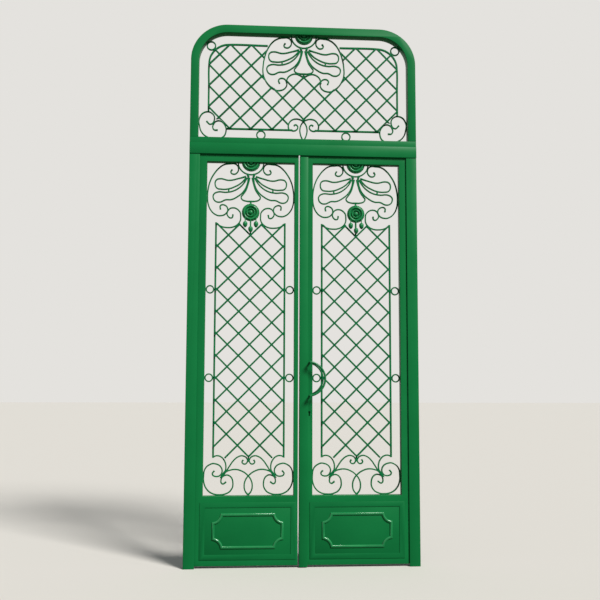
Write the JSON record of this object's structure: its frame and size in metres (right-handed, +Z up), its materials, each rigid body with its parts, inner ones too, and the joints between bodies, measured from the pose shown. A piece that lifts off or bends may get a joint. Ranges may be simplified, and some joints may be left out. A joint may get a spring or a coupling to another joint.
{
  "type": "double wrought iron entrance gate with arched transom",
  "caption": "Double-leaf wrought iron entrance gate in its frame, with lattice grilles, scrollwork, kick panels and an arched transom grille.",
  "frame": {"origin": "centre of the left jamb's foot, on the ground, seen from the front", "axes": "+X along the gate from the left jamb to the right, +Y from the front to the back, the way the leaves open, +Z up"},
  "size_m": [1.4, 0.164, 3.293],
  "materials": {
    "casting_paint": "gloss green paint",
    "frame_paint": "gloss green paint",
    "handle_paint": "gloss green paint",
    "hinge_paint": "gloss green paint",
    "lattice_paint": "gloss green paint",
    "scroll_paint": "gloss green paint",
    "sheet_paint": "gloss green paint"
  },
  "bodies": {
    "frame": {"head_beam": "frame_paint", "head_cover_strip": "frame_paint", "left_hinge_pins": "hinge_paint", "left_jamb": "frame_paint", "right_hinge_pins": "hinge_paint", "right_jamb": "frame_paint", "transom_border": "scroll_paint", "transom_centre_scroll": "scroll_paint", "transom_corner_scrolls": "scroll_paint", "transom_crest_scrolls": "scroll_paint", "transom_lattice": "lattice_paint", "transom_left_side": "frame_paint", "transom_palmette": "scroll_paint", "transom_right_side": "frame_paint", "transom_rings": "lattice_paint", "transom_rosette": "casting_paint", "transom_sill": "frame_paint", "transom_top_bar": "frame_paint"},
    "left_leaf": {"left_bottom_arches": "scroll_paint", "left_bottom_rail": "frame_paint", "left_bottom_scrolls": "scroll_paint", "left_crest_scrolls": "scroll_paint", "left_grille_border": "scroll_paint", "left_hinge_knuckles": "hinge_paint", "left_hinge_stile": "frame_paint", "left_kick_panel": "sheet_paint", "left_lattice": "lattice_paint", "left_meeting_stile": "frame_paint", "left_mid_rail": "frame_paint", "left_palmette": "scroll_paint", "left_panel_moulding": "sheet_paint", "left_panel_trim": "sheet_paint", "left_rings": "lattice_paint", "left_rosettes": "casting_paint", "left_top_rail": "frame_paint"},
    "right_leaf": {"back_handle": "handle_paint", "front_handle": "handle_paint", "right_bottom_arches": "scroll_paint", "right_bottom_rail": "frame_paint", "right_bottom_scrolls": "scroll_paint", "right_cover_strip": "frame_paint", "right_crest_scrolls": "scroll_paint", "right_grille_border": "scroll_paint", "right_hinge_knuckles": "hinge_paint", "right_hinge_stile": "frame_paint", "right_kick_panel": "sheet_paint", "right_lattice": "lattice_paint", "right_meeting_stile": "frame_paint", "right_mid_rail": "frame_paint", "right_palmette": "scroll_paint", "right_panel_moulding": "sheet_paint", "right_panel_trim": "sheet_paint", "right_rings": "lattice_paint", "right_rosettes": "casting_paint", "right_top_rail": "frame_paint"}
  },
  "joints": [
    {"name": "left_leaf_swing", "type": "hinge", "parent": "frame", "child": "left_leaf", "pos_m": [0.029, 0.038, 1.264], "axis": [0, 0, 1], "range_deg": [0, 90]},
    {"name": "right_leaf_swing", "type": "hinge", "parent": "frame", "child": "right_leaf", "pos_m": [1.321, 0.038, 1.264], "axis": [0, 0, -1], "range_deg": [0, 90]}
  ]
}
